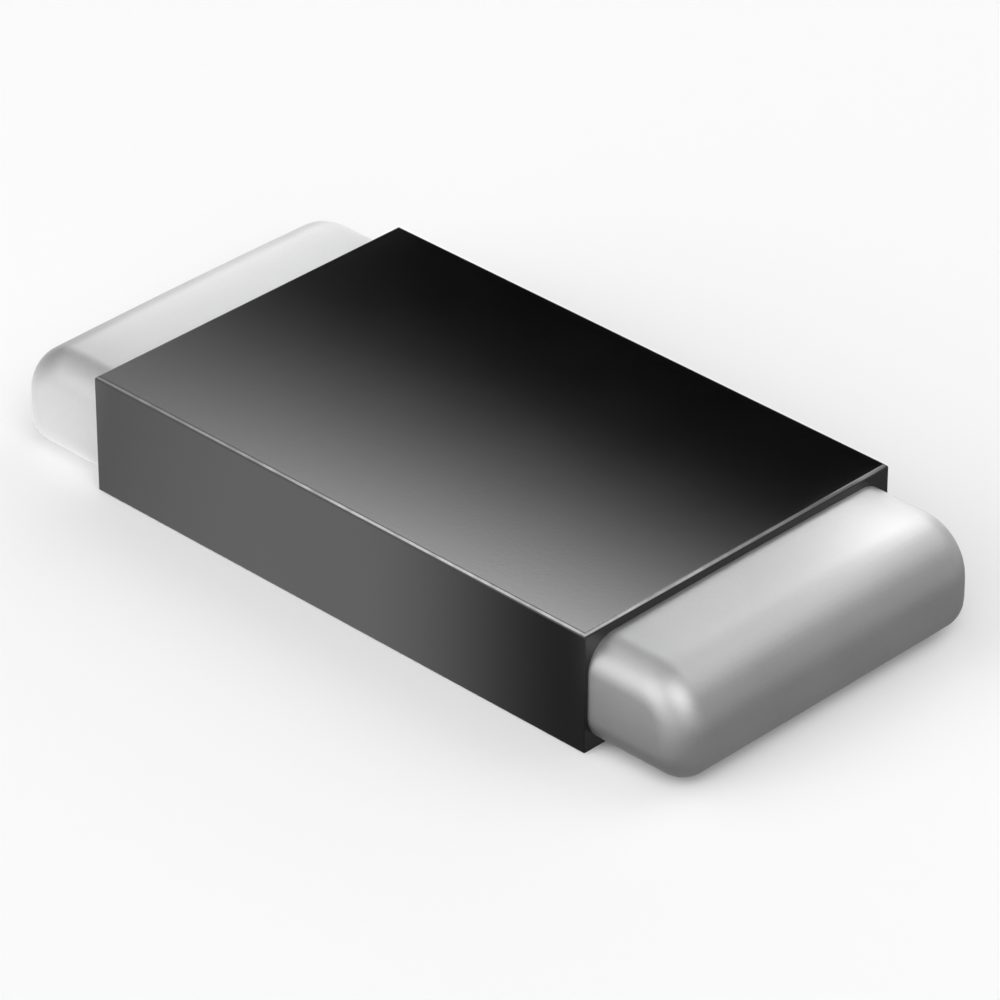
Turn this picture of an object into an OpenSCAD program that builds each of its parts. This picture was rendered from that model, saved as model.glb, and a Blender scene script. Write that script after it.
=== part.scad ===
// Moulded chip resistor for surface mounting, in millimetres.
// A black moulded block holds a resistance strip, and a plated terminal stands out of each end.
// The origin is the middle of the block's underside: +X along the length, +Y across, +Z up.

/* [Block] */
// Length of the moulded block
body_l = 2.34; // [2.10:0.02:2.60]
// Width of the moulded block
body_w = 1.48; // [1.36:0.02:1.80]
// Height of the moulded block
body_h = 0.46; // [0.40:0.01:0.66]
// Bevel around the top of the block
edge_bevel = 0.01; // [0.004:0.002:0.040]

/* [Terminals] */
// How far a terminal stands out of the block's end
terminal_reach = 0.43; // [0.34:0.01:0.60]
// Step from the block's side in to the terminal's side
side_inset = 0.015; // [0.010:0.005:0.060]
// Step from the block's top down to the terminal's top
top_inset = 0.035; // [0.010:0.005:0.080]
// Height of the terminal's underside over the block's underside
foot_rise = 0.015; // [0.010:0.005:0.060]
// Radius of a terminal's edges and outer corners
edge_r = 0.12; // [0.05:0.01:0.14]
// Larger radius over a terminal's outer upper edge
nose_r = 0.21; // [0.15:0.01:0.26]

/* [Resistance strip] */
// Width of the strip, and of the terminal tongues welded to its ends
strip_w = 1.00; // [0.80:0.02:1.20]
// Thickness of the strip and the tongues
strip_t = 0.20; // [0.10:0.01:0.26]
// How far a terminal's tongue runs into the block
tongue_depth = 0.40; // [0.25:0.01:0.55]
// Width of a trim slot in the strip
trim_slot_w = 0.10; // [0.06:0.01:0.16]
// Depth of a trim slot, from the strip's long edge
trim_slot_depth = 0.35; // [0.20:0.01:0.45]
// Distance of each trim slot from the strip's middle
trim_slot_x = 0.28; // [0.15:0.01:0.40]

/* [Hidden] */
$fn = 96;

// Length by which a cutter runs past the surface that it cuts
overrun = 0.05;

// Heights of a terminal's underside and top
terminal_low = foot_rise;
terminal_high = body_h - top_inset;
terminal_h = terminal_high - terminal_low;
terminal_w = body_w - 2 * side_inset;

// The nose keeps within the terminal's height and reach, and leaves a little flat on both walls
least_flat = 0.02;
nose_fit_r = min(nose_r, terminal_h - edge_r - least_flat, terminal_reach - least_flat);

// The strip lies at mid height and fills the room between the two tongues
strip_l = body_l - 2 * tongue_depth;
strip_z = (body_h - strip_t) / 2;

// A tongue carries on into its terminal to half the terminal's reach
tongue_l = tongue_depth + terminal_reach / 2;

// Quarter of a disc, in the +x +y corner
module quarter_disc(r) {
    intersection() {
        circle(r);
        square(r);
    }
}

// Rectangle from the origin to [l, h], with its far upper corner rounded
module nose_profile(l, h, r) {
    union() {
        square([l - r, h]);
        square([l, h - r]);
        translate([l - r, h - r]) quarter_disc(r);
    }
}

// Rectangle from [-l / 2, 0] to [l / 2, h] with its upper corners cut at 45 degrees
module bevelled_profile(l, h, bevel) {
    polygon([
        [-l / 2, 0],
        [l / 2, 0],
        [l / 2, h - bevel],
        [l / 2 - bevel, h],
        [bevel - l / 2, h],
        [-l / 2, h - bevel],
    ]);
}

// Stands a drawing up across the part: its x runs along Y, its y runs up, and it is drawn out along +X
module across(length) {
    rotate([90, 0, 90]) linear_extrude(length) children();
}

// Stands a drawing up along the part: its x runs along X, its y runs up, and it is drawn out along +Y
module along(width) {
    translate([0, width, 0]) rotate([90, 0, 0]) linear_extrude(width) children();
}

// Block bevelled on all four top edges: where its side view and its end view meet
module block() {
    intersection() {
        translate([0, -body_w / 2, 0]) along(body_w) bevelled_profile(body_l, body_h, edge_bevel);
        translate([-body_l / 2, 0, 0]) across(body_l) bevelled_profile(body_w, body_h, edge_bevel);
    }
}

// Round rim along one side of a terminal: a quarter disc carried round the outline that it lies on.
// Drawn with x outwards, y up and z out to the side, as terminal_half is.
module side_rim() {
    // Upper and lower runs
    translate([0, terminal_h - edge_r, 0]) rotate([90, 0, 90])
        linear_extrude(terminal_reach - nose_fit_r) quarter_disc(edge_r);
    translate([0, edge_r, 0]) mirror([0, 1, 0]) rotate([90, 0, 90])
        linear_extrude(terminal_reach - edge_r) quarter_disc(edge_r);
    // Upright run at the outer end
    translate([terminal_reach - edge_r, terminal_h - nose_fit_r, 0]) rotate([90, 0, 0])
        linear_extrude(terminal_h - nose_fit_r - edge_r) quarter_disc(edge_r);
    // Bend over the nose, and bend round the lower corner
    translate([terminal_reach - nose_fit_r, terminal_h - nose_fit_r, 0])
        rotate_extrude(angle = 90) translate([nose_fit_r - edge_r, 0]) quarter_disc(edge_r);
    translate([terminal_reach - edge_r, edge_r, 0]) rotate([0, 0, -90])
        rotate_extrude(angle = 90) quarter_disc(edge_r);
}

// Half of a terminal outside the block, from its middle plane out to one side
module terminal_half() {
    rim_z = terminal_w / 2 - edge_r;
    linear_extrude(rim_z) union() {
        translate([0, edge_r]) nose_profile(terminal_reach, terminal_h - edge_r, nose_fit_r);
        square([terminal_reach - edge_r, edge_r]);
        translate([terminal_reach - edge_r, edge_r]) rotate(-90) quarter_disc(edge_r);
    }
    translate([0, edge_r, rim_z]) linear_extrude(edge_r)
        nose_profile(terminal_reach - edge_r, terminal_h - 2 * edge_r, nose_fit_r - edge_r);
    translate([0, 0, rim_z]) side_rim();
}

// Terminal outside the block, from x = 0 outwards
module terminal_block() {
    translate([0, 0, terminal_low]) rotate([90, 0, 0]) union() {
        terminal_half();
        mirror([0, 0, 1]) terminal_half();
    }
}

// Tongue of a terminal, from inside the terminal to the strip's end
module tongue() {
    translate([-tongue_depth, -strip_w / 2, strip_z]) cube([tongue_l, strip_w, strip_t]);
}

// Strip with one trim slot in from each long edge
module strip() {
    difference() {
        translate([-strip_l / 2, -strip_w / 2, strip_z]) cube([strip_l, strip_w, strip_t]);
        for (turn = [0, 180]) rotate([0, 0, turn])
            translate([trim_slot_x - trim_slot_w / 2, strip_w / 2 - trim_slot_depth, strip_z - overrun])
                cube([trim_slot_w, trim_slot_depth + overrun, strip_t + 2 * overrun]);
    }
}

module molded_body() {
    color([0.07, 0.07, 0.08]) difference() {
        block();
        strip();
        for (turn = [0, 180]) rotate([0, 0, turn]) translate([body_l / 2, 0, 0]) tongue();
    }
}

module resistive_strip() {
    color([0.55, 0.50, 0.44]) strip();
}

module terminal() {
    color([0.80, 0.80, 0.81]) union() {
        terminal_block();
        tongue();
    }
}

module terminal_left() {
    translate([-body_l / 2, 0, 0]) rotate([0, 0, 180]) terminal();
}

module terminal_right() {
    translate([body_l / 2, 0, 0]) terminal();
}

molded_body();
resistive_strip();
terminal_left();
terminal_right();
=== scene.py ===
"""Looks of a moulded chip resistor: black block, tin-plated terminals, pale floor, soft light. Metres."""
import math

import bmesh
import bpy
import numpy as np
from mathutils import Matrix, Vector


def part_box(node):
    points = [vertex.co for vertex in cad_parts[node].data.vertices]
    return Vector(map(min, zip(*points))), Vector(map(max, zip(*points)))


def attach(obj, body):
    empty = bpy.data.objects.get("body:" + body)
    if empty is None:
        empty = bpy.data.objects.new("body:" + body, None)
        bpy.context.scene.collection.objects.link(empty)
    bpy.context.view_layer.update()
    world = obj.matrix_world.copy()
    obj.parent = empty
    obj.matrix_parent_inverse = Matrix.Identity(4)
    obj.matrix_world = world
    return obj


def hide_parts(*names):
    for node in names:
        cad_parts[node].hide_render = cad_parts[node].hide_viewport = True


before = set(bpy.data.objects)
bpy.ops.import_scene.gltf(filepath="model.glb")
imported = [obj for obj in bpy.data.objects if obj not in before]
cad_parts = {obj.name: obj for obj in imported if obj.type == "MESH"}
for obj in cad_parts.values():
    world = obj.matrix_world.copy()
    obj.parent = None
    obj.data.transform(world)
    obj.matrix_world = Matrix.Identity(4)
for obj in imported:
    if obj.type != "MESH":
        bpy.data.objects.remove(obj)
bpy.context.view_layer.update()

MM = 0.001

# Places that the solids give: corners of the block, the strip and one terminal
block_low, block_high = (np.array(corner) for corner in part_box("molded_body"))
strip_low, strip_high = (np.array(corner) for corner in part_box("resistive_strip"))
terminal_low, terminal_high = (np.array(corner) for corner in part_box("terminal_right"))

# Sizes that the boxes don't give
EDGE_BEVEL = 0.010 * MM
EDGE_R = 0.12 * MM
NOSE_R = 0.21 * MM
TRIM_SLOT_W = 0.10 * MM
TRIM_SLOT_DEPTH = 0.35 * MM
TRIM_SLOT_X = 0.28 * MM

# Softness of the block's edges, and the crown of a terminal's top
EDGE_SOFTNESS = 0.003 * MM
TOP_CROWN = 0.006 * MM

# Mesh of a terminal: points on a quarter round, points across a flat, and rings from its root to its nose
QUARTER_POINTS = 16
FLAT_POINTS = 9
ROOT_RINGS = 3
# A terminal's edge is sharp where it turns by more than this
SHARP_ANGLE = math.radians(40)
# Distance under which two points are one
SAME_POINT = 2e-6 * MM

# Finishes: sizes of grain, clouds, painted highlight patches and lines, and the depth of the bumps these
# make
COMPOUND_GRAIN = 0.012 * MM
COMPOUND_CLOUD = 0.35 * MM
HIGHLIGHT_PATCH = 0.08 * MM
HIGHLIGHT_SOFTNESS = 0.0015 * MM
TIN_GRAIN = 0.015 * MM
TIN_CLOUD = 0.20 * MM
ROLLING_LINE = 0.010 * MM
BUMP_DEPTH = 0.001 * MM

# Colours of the finishes: their darker and lighter places, the highlight painted on the block's top edges,
# and the floor
COMPOUND_DARK = (0.0012, 0.0012, 0.0013)
COMPOUND_LIGHT = (0.0030, 0.0030, 0.0032)
PAINTED_HIGHLIGHT_COLOR = (0.52, 0.52, 0.525)
TIN_DARK = (0.42, 0.42, 0.425)
TIN_LIGHT = (0.52, 0.52, 0.525)
ALLOY_DARK = (0.42, 0.38, 0.33)
ALLOY_LIGHT = (0.56, 0.51, 0.45)
FLOOR_COLOR = (0.91, 0.91, 0.91, 1.0)

# Floor: half of its side, and how far it lies under the part
FLOOR_HALF = 0.4
FLOOR_DROP = 0.001 * MM

# Room light: its even level, what the horizon adds, and the sines of elevation between which that fades
EVEN_LIGHT = 0.20
HORIZON_LIGHT = 0.75
HORIZON_FADE = (0.05, 0.15)

# Soft lamps, named as the camera sees them: strength, then azimuth from +X toward +Y and elevation of the
# middle, then the angles from the middle at which the light starts to fade and is gone. Angles in degrees.
LAMPS = {
    "left": (2.5, -108, 20, 5, 35),
    "front": (3.1, -36, 45, 5, 35),
    "right": (1.4, 72, 45, 5, 35),
    "high_left": (1.0, -150, 46, 5, 30),
    "high_behind": (0.4, 165, 56, 3, 26),
    "low_behind": (2.2, 120, 8, 10, 20),
}
# Dark card behind the part, placed as a lamp is
DARK_CARD = (134, 32, 9, 17)

# Camera, at the angle that the picture shows the part from
AZIMUTH = math.radians(44.37)
ELEVATION = math.radians(31.93)
CAMERA_DISTANCE = 21.67 * MM
LENS_MM = 226.4
SENSOR_MM = 36.0
LOOK_RIGHT = 0.0444 * MM
LOOK_UP = 0.1159 * MM
NEAREST_SEEN = 1.0 * MM
FARTHEST_SEEN = 1.0


class Shade:
    """A socket in a node tree. Arithmetic on it adds Math nodes, and node() adds any other kind."""

    def __init__(self, tree, socket=None):
        self.tree = tree
        self.socket = socket

    def node(self, kind, settings=None, inputs=None, output=0):
        """Adds a node of that kind, sets its settings, then fills its sockets with values or links."""
        made = self.tree.nodes.new(kind)
        for name, value in (settings or {}).items():
            setattr(made, name, value)
        for name, value in (inputs or {}).items():
            if isinstance(value, Shade):
                self.tree.links.new(value.socket, made.inputs[name])
            else:
                made.inputs[name].default_value = value
        return Shade(self.tree, made.outputs[output] if made.outputs else None)

    def math(self, operation, first, second=0.0):
        return self.node("ShaderNodeMath", {"operation": operation}, {0: first, 1: second})

    def __add__(self, other):
        return self.math("ADD", self, other)

    def __radd__(self, other):
        return self.math("ADD", other, self)

    def __sub__(self, other):
        return self.math("SUBTRACT", self, other)

    def __rsub__(self, other):
        return self.math("SUBTRACT", other, self)

    def __mul__(self, other):
        return self.math("MULTIPLY", self, other)

    def __rmul__(self, other):
        return self.math("MULTIPLY", other, self)

    def __truediv__(self, other):
        return self.math("DIVIDE", self, other)

    def __pow__(self, other):
        return self.math("POWER", self, other)

    def __abs__(self):
        return self.math("ABSOLUTE", self)

    def at_least(self, other):
        """The larger of this and the other."""
        return self.math("MAXIMUM", self, other)

    def position(self):
        """Position on the piece that the material is on."""
        return self.node("ShaderNodeTexCoord", {}, {}, "Object")

    def axes(self):
        """The x, y and z of this position."""
        return [self.node("ShaderNodeSeparateXYZ", {}, {"Vector": self}, axis) for axis in "XYZ"]

    def ramp(self, start, end, low=0.0, high=1.0):
        """Smooth step from low at start to high at end."""
        settings = {"interpolation_type": "SMOOTHSTEP"}
        inputs = {"Value": self, "From Min": start, "From Max": end, "To Min": low, "To Max": high}
        return self.node("ShaderNodeMapRange", settings, inputs)

    def noise(self, size, detail):
        """Noise from 0 to 1, with features of about that size, read at this position."""
        return self.node("ShaderNodeTexNoise", {}, {"Vector": self, "Scale": 1.0 / size, "Detail": detail})

    def tint(self, dark, light):
        """Colour between two colours, by this value. Sockets 6 and 7 of a Mix node are its two colours, and
        its output 2 is the mixed one."""
        sides = {0: self, 6: dark if isinstance(dark, Shade) else (*dark, 1.0), 7: (*light, 1.0)}
        return self.node("ShaderNodeMix", {"data_type": "RGBA"}, sides, 2)

    def bump(self, strength):
        """Normal of a surface that this value raises."""
        inputs = {"Strength": strength, "Distance": BUMP_DEPTH, "Height": self}
        return self.node("ShaderNodeBump", {}, inputs)


def new_material(name):
    """Empty material, and a Shade to build it with."""
    material = bpy.data.materials.new(name)
    material.use_nodes = True
    material.node_tree.nodes.clear()
    return material, Shade(material.node_tree)


def surface(shade, color, roughness, normal, **constants):
    """Ends a material in one Principled shader. Constants go on the shader's own sockets."""
    inputs = {"Base Color": color, "Roughness": roughness, "Normal": normal, **constants}
    bsdf = shade.node("ShaderNodeBsdfPrincipled", {}, inputs)
    shade.node("ShaderNodeOutputMaterial", {}, {"Surface": bsdf})


def molding_compound():
    """Black epoxy: satin, with the fine grain of its filler, and a highlight painted pale along its top
    edges.
    The painted highlight is a band on the upper part of the top bevel: a point there lies nearer to an end
    or a side than the bevel's upper edge, and higher than a third of the bevel. It is painted brightest
    toward the right front corner."""
    material, shade = new_material("molding_compound")
    place = shade.position()
    x, y, z = place.axes()
    length, width, height = block_high - EDGE_BEVEL
    over = (z - height - EDGE_BEVEL / 3).ramp(-HIGHLIGHT_SOFTNESS, HIGHLIGHT_SOFTNESS)
    past_end = (abs(x) - length).ramp(-HIGHLIGHT_SOFTNESS, HIGHLIGHT_SOFTNESS)
    past_side = (abs(y) - width).ramp(-HIGHLIGHT_SOFTNESS, HIGHLIGHT_SOFTNESS)
    bevel = over * past_end.at_least(past_side)
    toward_corner = 0.8 * x / block_high[0] - 1.2 * y / block_high[1]
    corner_highlight = toward_corner.ramp(0.0, 1.7, 0.15, 1.0)
    patchy = place.noise(HIGHLIGHT_PATCH, detail=3.0).ramp(0.25, 0.75)
    # Painted highlight: pale grey on the upper top bevel, strongest toward the right front corner, in
    # patches; the band is also rougher
    painted_highlight = bevel * corner_highlight * (0.55 + 0.45 * patchy)
    grain = place.noise(COMPOUND_GRAIN, detail=3.0)
    cloud = place.noise(COMPOUND_CLOUD, detail=2.0)
    color = painted_highlight.tint(grain.tint(COMPOUND_DARK, COMPOUND_LIGHT), PAINTED_HIGHLIGHT_COLOR)
    roughness = 0.085 + 0.03 * grain + 0.03 * cloud + 0.25 * painted_highlight
    surface(shade, color, roughness, grain.bump(0.08), IOR=1.55)
    return material


def tin_plate():
    """Satin tin plating: grey-white metal with fine crystals and faint clouding."""
    material, shade = new_material("tin_plate")
    place = shade.position()
    grain = place.noise(TIN_GRAIN, detail=3.0)
    cloud = place.noise(TIN_CLOUD, detail=2.0)
    color = (0.5 * grain + 0.5 * cloud).tint(TIN_DARK, TIN_LIGHT)
    roughness = 0.46 + 0.07 * grain + 0.05 * cloud
    surface(shade, color, roughness, grain.bump(0.12), Metallic=1.0)
    return material


def resistance_alloy():
    """Rolled alloy strip: warm grey metal with fine lines, drawn out twentyfold along its length."""
    material, shade = new_material("resistance_alloy")
    drawn = shade.node("ShaderNodeMapping", {}, {"Vector": shade.position(), "Scale": (0.05, 1.0, 1.0)})
    lines = drawn.noise(ROLLING_LINE, detail=4.0)
    color = lines.tint(ALLOY_DARK, ALLOY_LIGHT)
    roughness = 0.30 + 0.15 * lines
    surface(shade, color, roughness, lines.bump(0.15), Metallic=1.0)
    return material


def loft(name, rings, closed=False):
    """Skin over a stack of rings, an array of ring, point and xyz: quads join each ring to the next.
    The last ring joins the first where closed, and otherwise a flat cap ends the stack at both ends."""
    count, around = rings.shape[:2]
    here = np.arange(count * around).reshape(count, around)
    there = np.roll(here, -1, axis=0)
    if not closed:
        here, there = here[:-1], there[:-1]
    quads = np.stack([here, np.roll(here, -1, axis=1), np.roll(there, -1, axis=1), there], axis=-1)
    faces = quads.reshape(-1, 4).tolist()
    if not closed:
        faces += [here[0][::-1].tolist(), there[-1].tolist()]
    mesh = bpy.data.meshes.new(name)
    mesh.from_pydata(rings.reshape(-1, 3).tolist(), [], faces)
    merged = bmesh.new()
    merged.from_mesh(mesh)
    bmesh.ops.remove_doubles(merged, verts=merged.verts, dist=SAME_POINT)
    bmesh.ops.dissolve_degenerate(merged, edges=merged.edges, dist=SAME_POINT)
    merged.to_mesh(mesh)
    merged.free()
    mesh.polygons.foreach_set("use_smooth", np.ones(len(mesh.polygons), bool))
    mesh.update()
    piece = bpy.data.objects.new(name, mesh)
    bpy.context.scene.collection.objects.link(piece)
    return piece


def side_to_side(edge):
    """Heights across a section: those of one edge, its last one over the flat, and the edge mirrored."""
    flat = np.repeat(edge[:, -1:], FLAT_POINTS - 2, axis=1)
    return np.concatenate([edge, flat, edge[:, ::-1]], axis=1)


def terminal_sections():
    """Rings of one terminal's outside, from its root at x = 0 out to its nose.
    A section at x is a rounded box: its side edges are a rim of radius EDGE_R that follows the side view, so
    an upper edge point at rim angle a lies at centre + sqrt((NOSE_R - EDGE_R + EDGE_R cos a)^2 - d^2) in
    height, where d is how far x has come round the nose. The lower edge is the same with EDGE_R for its
    nose. The top then drops by TOP_CROWN times the square of its place across the width."""
    reach = terminal_high[0] - block_high[0]
    half_w = terminal_high[1]
    turn = np.sin(np.linspace(0, math.pi / 2, QUARTER_POINTS))
    flat_x = np.linspace(0, reach - NOSE_R, ROOT_RINGS, endpoint=False)
    nose_x = reach - NOSE_R + NOSE_R * turn
    foot_x = reach - EDGE_R + EDGE_R * turn
    x = np.unique(np.concatenate([flat_x, nose_x, foot_x]).round(12))
    round_nose = np.maximum(0, x - (reach - NOSE_R))[:, None]
    round_foot = np.maximum(0, x - (reach - EDGE_R))[:, None]
    widest = np.arccos(np.clip(round_foot / EDGE_R, 0, 1))
    rim = widest * np.linspace(1, 0, QUARTER_POINTS)[None, :]
    edge_y = half_w - EDGE_R + EDGE_R * np.sin(rim)
    upper_arm = NOSE_R - EDGE_R + EDGE_R * np.cos(rim)
    upper_z = terminal_high[2] - NOSE_R + np.sqrt(np.maximum(0, upper_arm ** 2 - round_nose ** 2))
    lower_arm = EDGE_R * np.cos(rim)
    lower_z = terminal_low[2] + EDGE_R - np.sqrt(np.maximum(0, lower_arm ** 2 - round_foot ** 2))
    flat_y = edge_y[:, -1:] * np.linspace(1, -1, FLAT_POINTS)[None, 1:-1]
    row_y = np.concatenate([edge_y, flat_y, -edge_y[:, ::-1]], axis=1)
    upper = side_to_side(upper_z) - TOP_CROWN * (row_y / half_w) ** 2
    lower = side_to_side(lower_z)
    ring_y = np.concatenate([row_y, row_y[:, ::-1]], axis=1)
    ring_z = np.concatenate([upper, lower[:, ::-1]], axis=1)
    return np.stack([np.broadcast_to(x[:, None], ring_y.shape), ring_y, ring_z], axis=-1)


def terminal(name, side):
    """One terminal with its tongue: the tongue's box, then the root face, then the sections out to the nose.
    The tongue's rings are the root ring drawn in to the strip's width and thickness. Side is 1 for the right
    terminal, and -1 turns it half round for the left one."""
    outside = terminal_sections()
    root = outside[0]
    upper_half = np.arange(len(root)) < len(root) // 2
    tongue = root.copy()
    tongue[:, 1] *= strip_high[1] / terminal_high[1]
    tongue[:, 2] = np.where(upper_half, strip_high[2], strip_low[2])
    depth = np.array([block_high[0] - strip_high[0], 0, 0])
    rings = np.concatenate([[tongue - depth, tongue], outside]) + np.array([block_high[0], 0, 0])
    rings[..., :2] *= side
    piece = loft(name, rings)
    piece.data.set_sharp_from_angle(angle=SHARP_ANGLE)
    return piece


def block_sections():
    """Rings of the block, out along its length and back through the tunnel that holds the strip.
    Outside, a section is a box with its upper corners cut at 45 degrees, and the ends are cut the same way.
    Inside, it is the strip's section, and a side wall steps in by a trim slot's depth where the slot lies.
    A ring runs over the top to the -Y side, down that side, under the block and up the +Y side."""
    length, width, height = block_high
    bevel = EDGE_BEVEL
    signs = np.array([1, -1, -1, -1, 1, 1])
    full_y = signs * (width - bevel * np.array([1, 1, 0, 0, 0, 0]))
    full_z = np.array([height, height, height - bevel, 0, 0, height - bevel])
    end_y = signs * width
    end_z = np.minimum(full_z, height - bevel)
    outer_x = np.array([-length, bevel - length, length - bevel, length])
    outer_y = np.stack([end_y, full_y, full_y, end_y])
    outer_z = np.stack([end_z, full_z, full_z, end_z])
    near, far = TRIM_SLOT_X - TRIM_SLOT_W / 2, TRIM_SLOT_X + TRIM_SLOT_W / 2
    inner_x = np.array([length, far, far, near, near, -near, -near, -far, -far, -length])
    in_right = np.array([0, 0, 1, 1, 0, 0, 0, 0, 0, 0]) * TRIM_SLOT_DEPTH
    in_left = np.array([0, 0, 0, 0, 0, 0, 1, 1, 0, 0]) * TRIM_SLOT_DEPTH
    step_in = np.where(signs > 0, in_right[:, None], in_left[:, None])
    inner_y = signs * (strip_high[1] - step_in)
    middle = (strip_low[2] + strip_high[2]) / 2
    inner_z = np.array([strip_high[2], strip_high[2], middle, strip_low[2], strip_low[2], middle])
    x = np.concatenate([outer_x, inner_x])
    y = np.concatenate([outer_y, inner_y])
    z = np.concatenate([outer_z, np.broadcast_to(inner_z, inner_y.shape)])
    return np.stack([np.broadcast_to(x[:, None], y.shape), y, z], axis=-1)


def block(name):
    """Moulded block round its tunnel. A narrow bevel softens its outer edges, whose two points both lie
    wider than midway between the tunnel's wall and the block's side. The tunnel's edges stay sharp."""
    piece = loft(name, block_sections(), closed=True)
    mesh = piece.data
    ends = np.empty(2 * len(mesh.edges), np.int32)
    mesh.edges.foreach_get("vertices", ends)
    places = np.empty(3 * len(mesh.vertices), np.float32)
    mesh.vertices.foreach_get("co", places)
    wide = np.abs(places[1::3]) > (strip_high[1] + block_high[1]) / 2
    outer = wide[ends.reshape(-1, 2)].all(axis=1)
    weights = mesh.attributes.new("bevel_weight_edge", "FLOAT", "EDGE")
    weights.data.foreach_set("value", outer.astype(np.float32))
    sharp = mesh.attributes.new("sharp_edge", "BOOLEAN", "EDGE")
    sharp.data.foreach_set("value", ~outer)
    soft = piece.modifiers.new("softened_edges", "BEVEL")
    soft.limit_method = "WEIGHT"
    soft.width = EDGE_SOFTNESS
    soft.segments = 3
    soft.harden_normals = True
    return piece


def dress(piece, node, material):
    """Seats a piece on the part in place of its solid, with its finish."""
    piece.data.materials.append(material)
    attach(piece, "root")
    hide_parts(node)


def flat_sheet(name, corners, material):
    """One flat face with four corners."""
    mesh = bpy.data.meshes.new(name)
    mesh.from_pydata(corners, [], [(0, 1, 2, 3)])
    mesh.materials.append(material)
    sheet = bpy.data.objects.new(name, mesh)
    bpy.context.scene.collection.objects.link(sheet)
    return sheet


def pale_floor():
    """Large flat floor just under the part."""
    material, shade = new_material("floor_paint")
    bsdf = shade.node("ShaderNodeBsdfDiffuse", {}, {"Color": FLOOR_COLOR})
    shade.node("ShaderNodeOutputMaterial", {}, {"Surface": bsdf})
    signs = [(-1, -1), (1, -1), (1, 1), (-1, 1)]
    corners = [(x * FLOOR_HALF, y * FLOOR_HALF, -FLOOR_DROP) for x, y in signs]
    floor = flat_sheet("floor", corners, material)


def glow(direction, azimuth, elevation, inner, outer):
    """Soft disc in the sky: 1 within the inner angle of its middle, 0 past the outer one, all in degrees."""
    around, up = math.radians(azimuth), math.radians(elevation)
    middle = (math.cos(around) * math.cos(up), math.sin(around) * math.cos(up), math.sin(up))
    settings = {"operation": "DOT_PRODUCT"}
    near = direction.node("ShaderNodeVectorMath", settings, {0: direction, 1: middle}, "Value")
    return near.ramp(math.cos(math.radians(outer)), math.cos(math.radians(inner)))


def studio_world():
    """Even room with a pale horizon and soft lamps. A dark card keeps the far side of the top black."""
    world = bpy.data.worlds.new("studio")
    world.use_nodes = True
    world.node_tree.nodes.clear()
    shade = Shade(world.node_tree)
    direction = shade.node("ShaderNodeTexCoord", {}, {}, "Generated")
    height = shade.node("ShaderNodeSeparateXYZ", {}, {"Vector": direction}, "Z")
    level = EVEN_LIGHT + height.ramp(*HORIZON_FADE, HORIZON_LIGHT, 0.0)
    for strength, *disc in LAMPS.values():
        level = level + strength * glow(direction, *disc)
    level = level * (1 - glow(direction, *DARK_CARD))
    background = shade.node("ShaderNodeBackground", {}, {"Color": level})
    shade.node("ShaderNodeOutputWorld", {}, {"Surface": background})
    bpy.context.scene.world = world


def gloss_card(name, corners, light_at):
    """Flat glowing card that shows only in gloss. Its four corners, and the x, y and z that its light is
    worked out from, are in millimetres."""
    material, shade = new_material(name + "_glow")
    x, y, z = (axis / MM for axis in shade.position().axes())
    emission = shade.node("ShaderNodeEmission", {}, {"Color": light_at(x, y, z)})
    shade.node("ShaderNodeOutputMaterial", {}, {"Surface": emission})
    card = flat_sheet(name, (np.array(corners) * MM).tolist(), material)
    card.visible_camera = False
    card.visible_diffuse = False
    card.visible_shadow = False


def back_card():
    """Card behind the part, for the gloss on its top. Its light grows with the height above a line on it, to
    the power 2.2, and along its length."""
    left, right, back = -6.5, 0.0, 3.0
    low, high = 2.5, 4.4
    dark_line = 2.6
    gain, power = 2.7, 2.2
    right_level, slope = 1.55, 0.22

    def light(x, y, z):
        rise = (z - dark_line).at_least(0.0)
        return gain * rise ** power * (right_level + slope * x)

    corners = [(left, back, low), (right, back, low), (right, back, high), (left, back, high)]
    gloss_card("back_card", corners, light)


def left_card():
    """Card past the left terminal, for the gloss on its upper side. It fades out at its lower and upper
    edges and at its near end, and stays low enough to keep out of the gloss on the block's top."""
    side, near, far = -2.4, -0.4, 2.2
    low, high = 0.78, 1.28
    low_fade, high_fade, near_fade = 0.17, 0.13, 0.7
    brightest = 5.0

    def light(x, y, z):
        upright = z.ramp(low, low + low_fade) * z.ramp(high, high - high_fade)
        return brightest * upright * y.ramp(near, near + near_fade)

    corners = [(side, near, low), (side, far, low), (side, far, high), (side, near, high)]
    gloss_card("left_card", corners, light)


def right_card():
    """Card behind the right terminal, for the gloss on its top. It fades out at its lower edge, and its left
    edge slants to keep out of the gloss on the block's top."""
    left_low, left_high, right, back = 1.12, 0.63, 1.46, 0.95
    low, high = 0.58, 1.02
    low_fade = 0.17
    brightest = 4.0

    def light(x, y, z):
        return brightest * z.ramp(low, low + low_fade)

    corners = [(left_low, back, low), (right, back, low), (right, back, high), (left_high, back, high)]
    gloss_card("right_card", corners, light)


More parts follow.
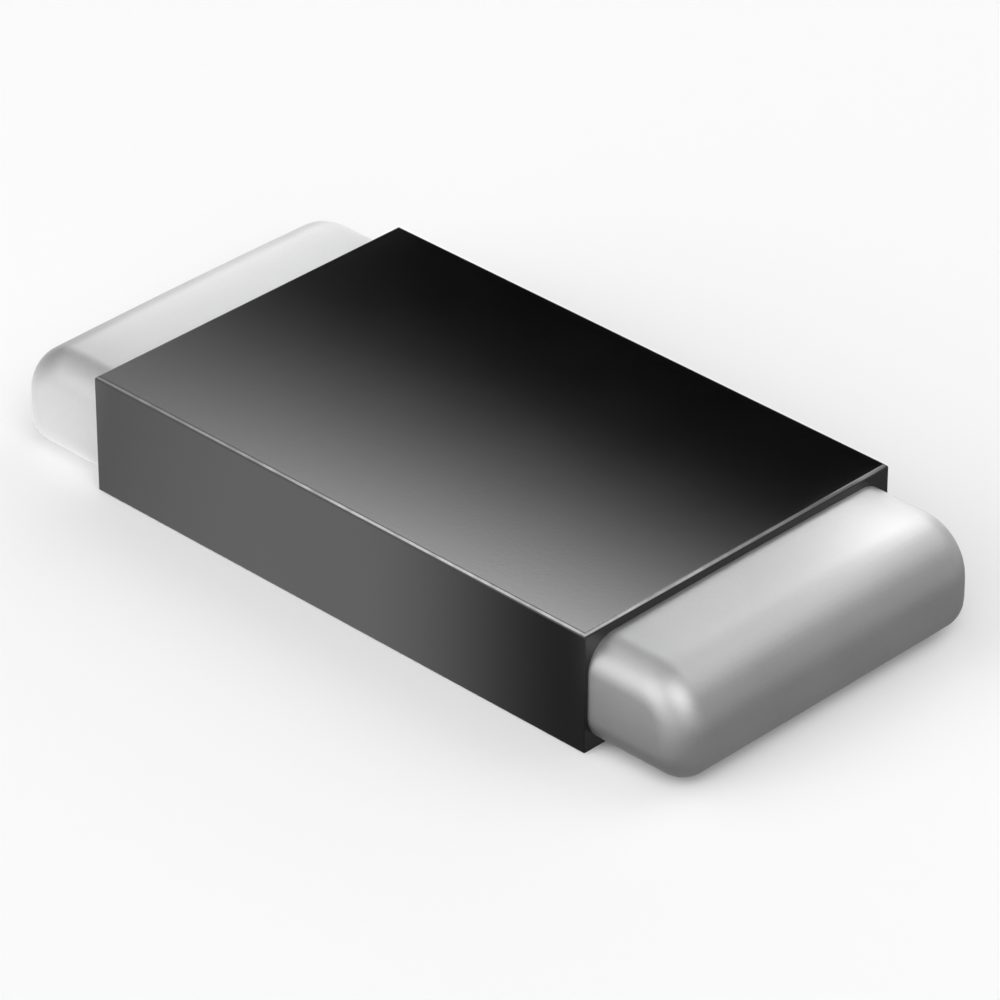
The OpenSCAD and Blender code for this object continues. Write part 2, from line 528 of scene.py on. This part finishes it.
def floor_card():
    """Card on the floor, for the gloss on the part's sides. It is bright in front of the block's left half
    and by the left terminal, and dark by the block's right end. Past that it is a little lighter, and grows
    lighter still away from the right terminal's near side. In front of the block its bands slant, so that
    they stand upright in the gloss."""
    left, right, front, back = -2.5, 4.0, -3.0, 2.5
    level = -0.0005
    block_front = float(block_low[1]) / MM
    slant = 0.98
    dark_band = 1.1
    dark_level, block_level, left_level = 0.2, 1.35, 0.8
    right_end_level, right_side_level = 0.10, 0.45

    def light(x, y, z):
        ahead = block_front - y
        band = x + slant * ahead.at_least(0.0)
        by_block = block_level * band.ramp(dark_band, 0.1) * band.ramp(-1.8, -0.3, 0.5, 1.0)
        beyond = right_end_level * ahead.ramp(0.05, -0.05) + right_side_level * ahead.ramp(0.1, 0.5)
        by_right = beyond * band.ramp(dark_band, 1.3)
        by_left = left_level * band.ramp(-1.15, -1.35)
        return dark_level + by_block + by_right + by_left

    corners = [(left, front, level), (right, front, level), (right, back, level), (left, back, level)]
    gloss_card("floor_card", corners, light)


def camera():
    """Camera at the picture's angle, looking a little above and beside the origin."""
    lens = bpy.data.cameras.new("camera")
    lens.lens = LENS_MM
    lens.sensor_width = SENSOR_MM
    lens.clip_start = NEAREST_SEEN
    lens.clip_end = FARTHEST_SEEN
    holder = bpy.data.objects.new("camera", lens)
    back = Vector((
        math.sin(AZIMUTH) * math.cos(ELEVATION),
        -math.cos(AZIMUTH) * math.cos(ELEVATION),
        math.sin(ELEVATION),
    ))
    right = Vector((math.cos(AZIMUTH), math.sin(AZIMUTH), 0))
    up = back.cross(right)
    holder.location = right * LOOK_RIGHT + up * LOOK_UP + back * CAMERA_DISTANCE
    holder.rotation_mode = "QUATERNION"
    holder.rotation_quaternion = (-back).to_track_quat("-Z", "Y")
    bpy.context.scene.collection.objects.link(holder)
    bpy.context.scene.camera = holder


# Pieces of the part, and the finish of the strip inside
tin = tin_plate()
dress(block("molded_block"), "molded_body", molding_compound())
dress(terminal("plated_terminal_left", -1), "terminal_left", tin)
dress(terminal("plated_terminal_right", 1), "terminal_right", tin)
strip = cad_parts["resistive_strip"]
strip.data.materials.clear()
strip.data.materials.append(resistance_alloy())

# Stage, light and camera
pale_floor()
studio_world()
back_card()
left_card()
right_card()
floor_card()
camera()
bpy.context.scene.view_settings.view_transform = "Standard"
